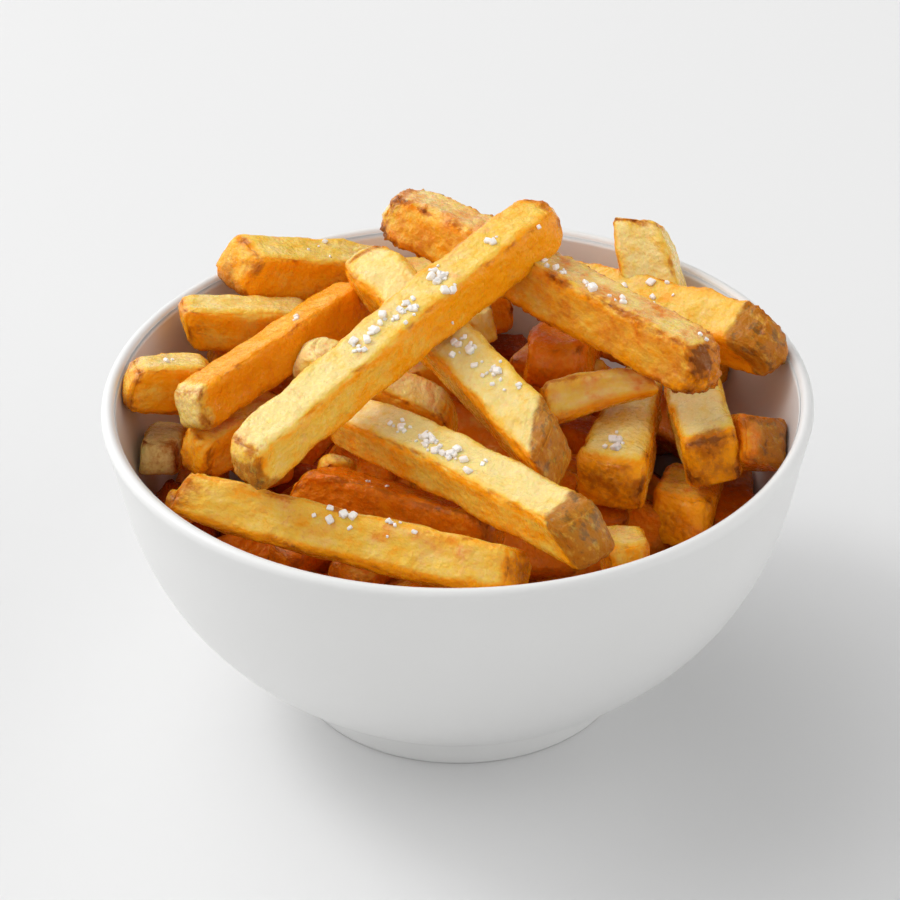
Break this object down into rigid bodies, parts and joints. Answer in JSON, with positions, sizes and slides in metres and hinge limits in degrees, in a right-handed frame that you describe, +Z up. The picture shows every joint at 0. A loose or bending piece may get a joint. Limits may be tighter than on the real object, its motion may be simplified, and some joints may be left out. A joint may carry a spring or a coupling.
{
  "type": "french fries portion",
  "caption": "Thick-cut french fries heaped above the rim of a plain white footed porcelain bowl, sprinkled with coarse salt.",
  "frame": {"origin": "centre of the foot ring, on the surface that the bowl stands on", "axes": "+Z up along the bowl's axis; the long front fry lies along the -Y side, and the highest fry rises from -X -Y towards +X +Y"},
  "size_m": [0.15, 0.15, 0.1007],
  "materials": {
    "white_glaze": "smooth glossy glaze",
    "fried_potato": "golden fried potato with a slight sheen of oil"
  },
  "bodies": {
    "root": {"bowl": "white_glaze", "fries_heap": "fried_potato"}
  },
  "joints": []
}
